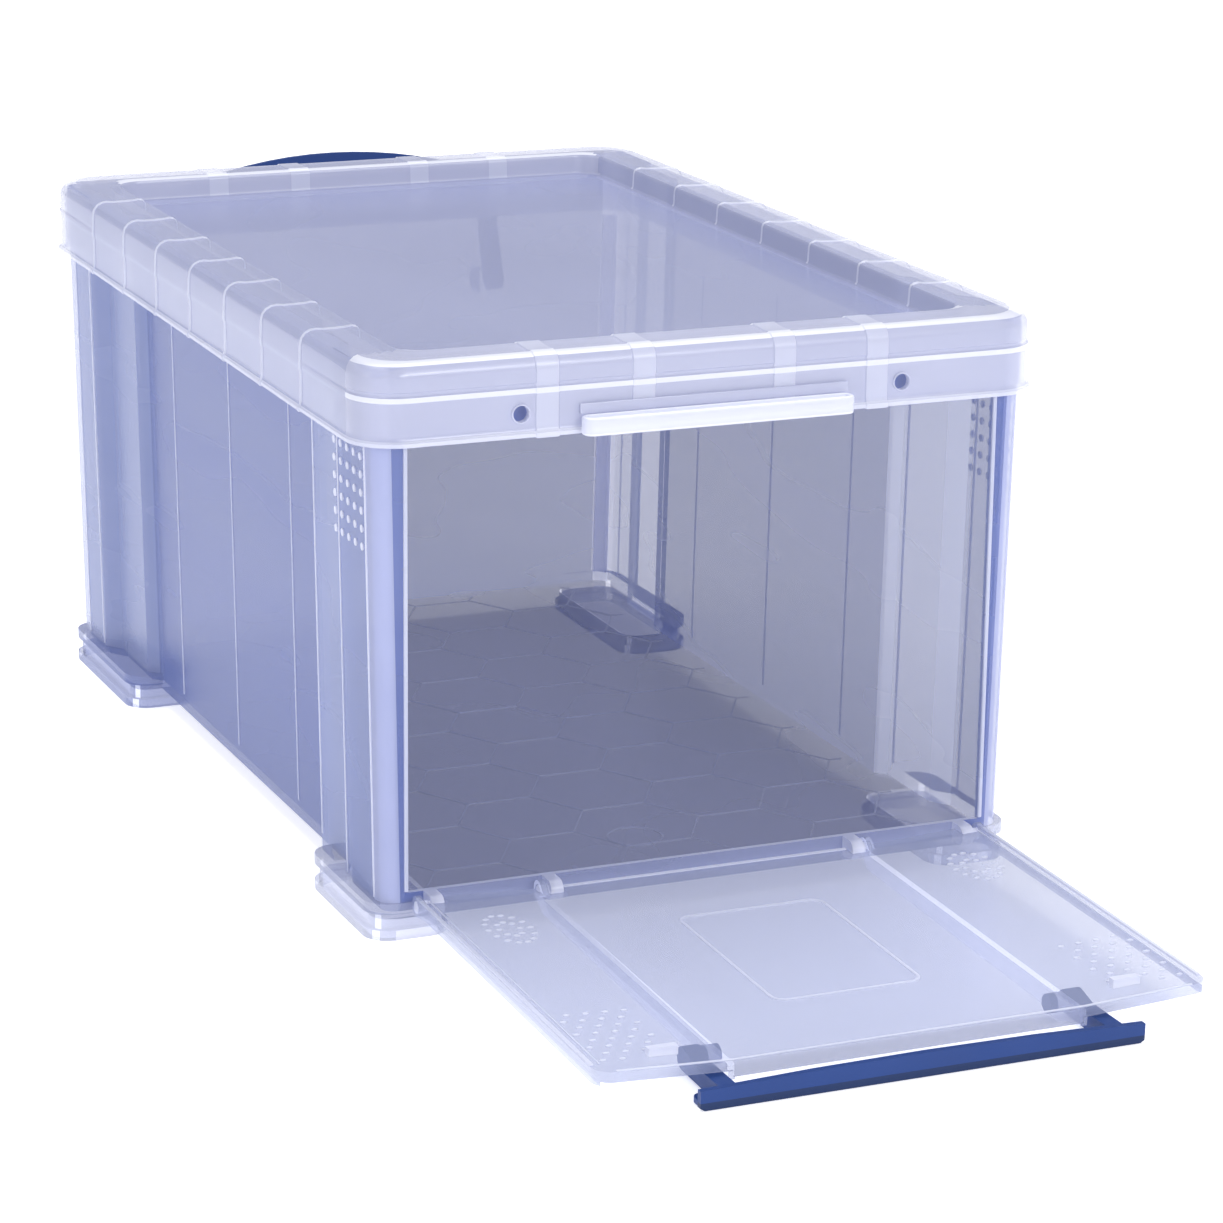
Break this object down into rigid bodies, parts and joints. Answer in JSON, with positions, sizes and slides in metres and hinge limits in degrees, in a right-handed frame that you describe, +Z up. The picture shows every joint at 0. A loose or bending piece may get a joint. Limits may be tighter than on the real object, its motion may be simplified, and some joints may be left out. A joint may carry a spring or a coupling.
{
  "type": "shoe box",
  "caption": "Translucent stacking shoe box with a lift-off lid, a drop-down front door and swing handles that hook over the lid.",
  "frame": {"origin": "centre of the whole box's footprint with the flap lying open, on the surface the feet stand on", "axes": "+Z up, -Y out of the front doorway, +X to the right seen from the front"},
  "size_m": [0.255, 0.5638, 0.202],
  "materials": {
    "clear_plastic": "smooth, slightly milky",
    "handle_plastic": "satin"
  },
  "bodies": {
    "tub": {"tub": "clear_plastic"},
    "lid": {"lid": "clear_plastic"},
    "flap": {"front_flap": "clear_plastic"},
    "front_handle": {"front_handle": "handle_plastic"},
    "rear_handle": {"rear_handle": "handle_plastic"}
  },
  "joints": [
    {"name": "lid_lift", "type": "slide", "parent": "tub", "child": "lid", "axis": [0, 0, 1], "range_m": [0, 0.08]},
    {"name": "flap_hinge", "type": "hinge", "parent": "tub", "child": "flap", "pos_m": [0, -0.11166, 0.013], "axis": [-1, 0, 0], "range_deg": [0, 90.9]},
    {"name": "front_handle_swing", "type": "hinge", "parent": "flap", "child": "front_handle", "pos_m": [0, -0.25156, 0.0054], "axis": [1, 0, 0], "range_deg": [0, 115]},
    {"name": "rear_handle_swing", "type": "hinge", "parent": "tub", "child": "rear_handle", "pos_m": [0, 0.26834, 0.146], "axis": [-1, 0, 0], "range_deg": [-4.5, 108]}
  ]
}
